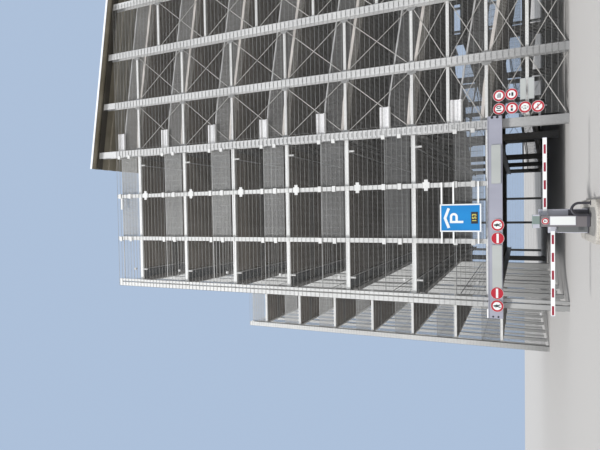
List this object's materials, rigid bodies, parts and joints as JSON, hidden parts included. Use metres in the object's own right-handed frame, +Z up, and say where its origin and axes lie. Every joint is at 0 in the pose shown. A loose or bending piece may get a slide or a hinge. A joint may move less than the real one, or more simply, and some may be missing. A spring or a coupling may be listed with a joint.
{
  "type": "multi storey car park",
  "caption": "Split level steel car park: open ribbed decks on galvanised posts behind wire mesh, ramps under a sloping roof, a gateway beam, a parking sign and barrier booms.",
  "frame": {"origin": "centre of the footprint's box at ground level, on the split line between the two halves in X", "axes": "+X to the right along the entrance front, +Y into the building from the entrance front, +Z up"},
  "size_m": [33.8492, 33.8246, 22.2668],
  "materials": {
    "galvanised": "hot dip galvanised, mottled",
    "inner_steel": "hot dip galvanised, shaded",
    "edge_steel": "hot dip galvanised, bright",
    "deck_concrete": "ribbed composite deck: grey concrete on brown-grey sheet",
    "guard_sheet": "galvanised ribbed sheet",
    "ramp_edge_paint": "off-white paint",
    "rail_steel": "galvanised",
    "brace_steel": "galvanised",
    "roof_sheet": "ribbed sheet, brown-grey underside",
    "fascia_white": "white coated",
    "mesh_wire": "galvanised wire",
    "sign_blue": "blue sheet with white border",
    "kerb_concrete": "pale concrete",
    "cabinet_grey": "grey powder coat",
    "hoop_dark": "dark painted tube",
    "boom_red_white": "white with red bands"
  },
  "bodies": {
    "building": {"barrier_cabinets": "cabinet_grey", "barrier_island": "kerb_concrete", "brace_rods": "brace_steel", "deck_joists": "inner_steel", "deck_level_1": "deck_concrete", "deck_level_2": "deck_concrete", "deck_level_3": "deck_concrete", "deck_level_4": "deck_concrete", "deck_level_5": "deck_concrete", "deck_level_6": "deck_concrete", "deck_level_7": "deck_concrete", "edge_channels": "edge_steel", "entrance_beam": "galvanised", "entrance_mesh": "mesh_wire", "front_corner_posts": "galvanised", "front_posts": "galvanised", "front_ramp_columns": "galvanised", "front_ramp_mesh": "mesh_wire", "guard_hoop": "hoop_dark", "guard_panels": "guard_sheet", "inner_columns": "inner_steel", "left_side_mesh": "mesh_wire", "left_wing_front_mesh": "mesh_wire", "left_wing_side_mesh": "mesh_wire", "main_beams": "inner_steel", "parking_sign_board": "sign_blue", "parking_sign_rails": "edge_steel", "ramp_edges": "ramp_edge_paint", "ramp_head_guard_rails": "rail_steel", "ramp_rails": "rail_steel", "ramp_roof_fascia": "fascia_white", "ramp_roof_purlins": "inner_steel", "ramp_roof_sheet": "roof_sheet", "ramp_ties": "edge_steel", "ramps": "deck_concrete", "rear_mesh": "mesh_wire", "rear_posts": "galvanised", "right_front_mesh": "mesh_wire", "right_side_mesh": "mesh_wire", "right_wing_front_mesh": "mesh_wire", "right_wing_side_mesh": "mesh_wire", "side_posts": "galvanised", "ticket_pillar": "cabinet_grey"},
    "left_barrier_boom": {"left_boom": "boom_red_white"},
    "right_barrier_boom": {"right_boom": "boom_red_white"}
  },
  "joints": [
    {"name": "left_boom_lift", "type": "hinge", "parent": "building", "child": "left_barrier_boom", "pos_m": [-8.665, -15.5933, 0.88], "axis": [0, 1, 0], "range_deg": [0, 88]},
    {"name": "right_boom_lift", "type": "hinge", "parent": "building", "child": "right_barrier_boom", "pos_m": [-8.335, -15.5933, 1.05], "axis": [0, -1, 0], "range_deg": [0, 88]}
  ]
}
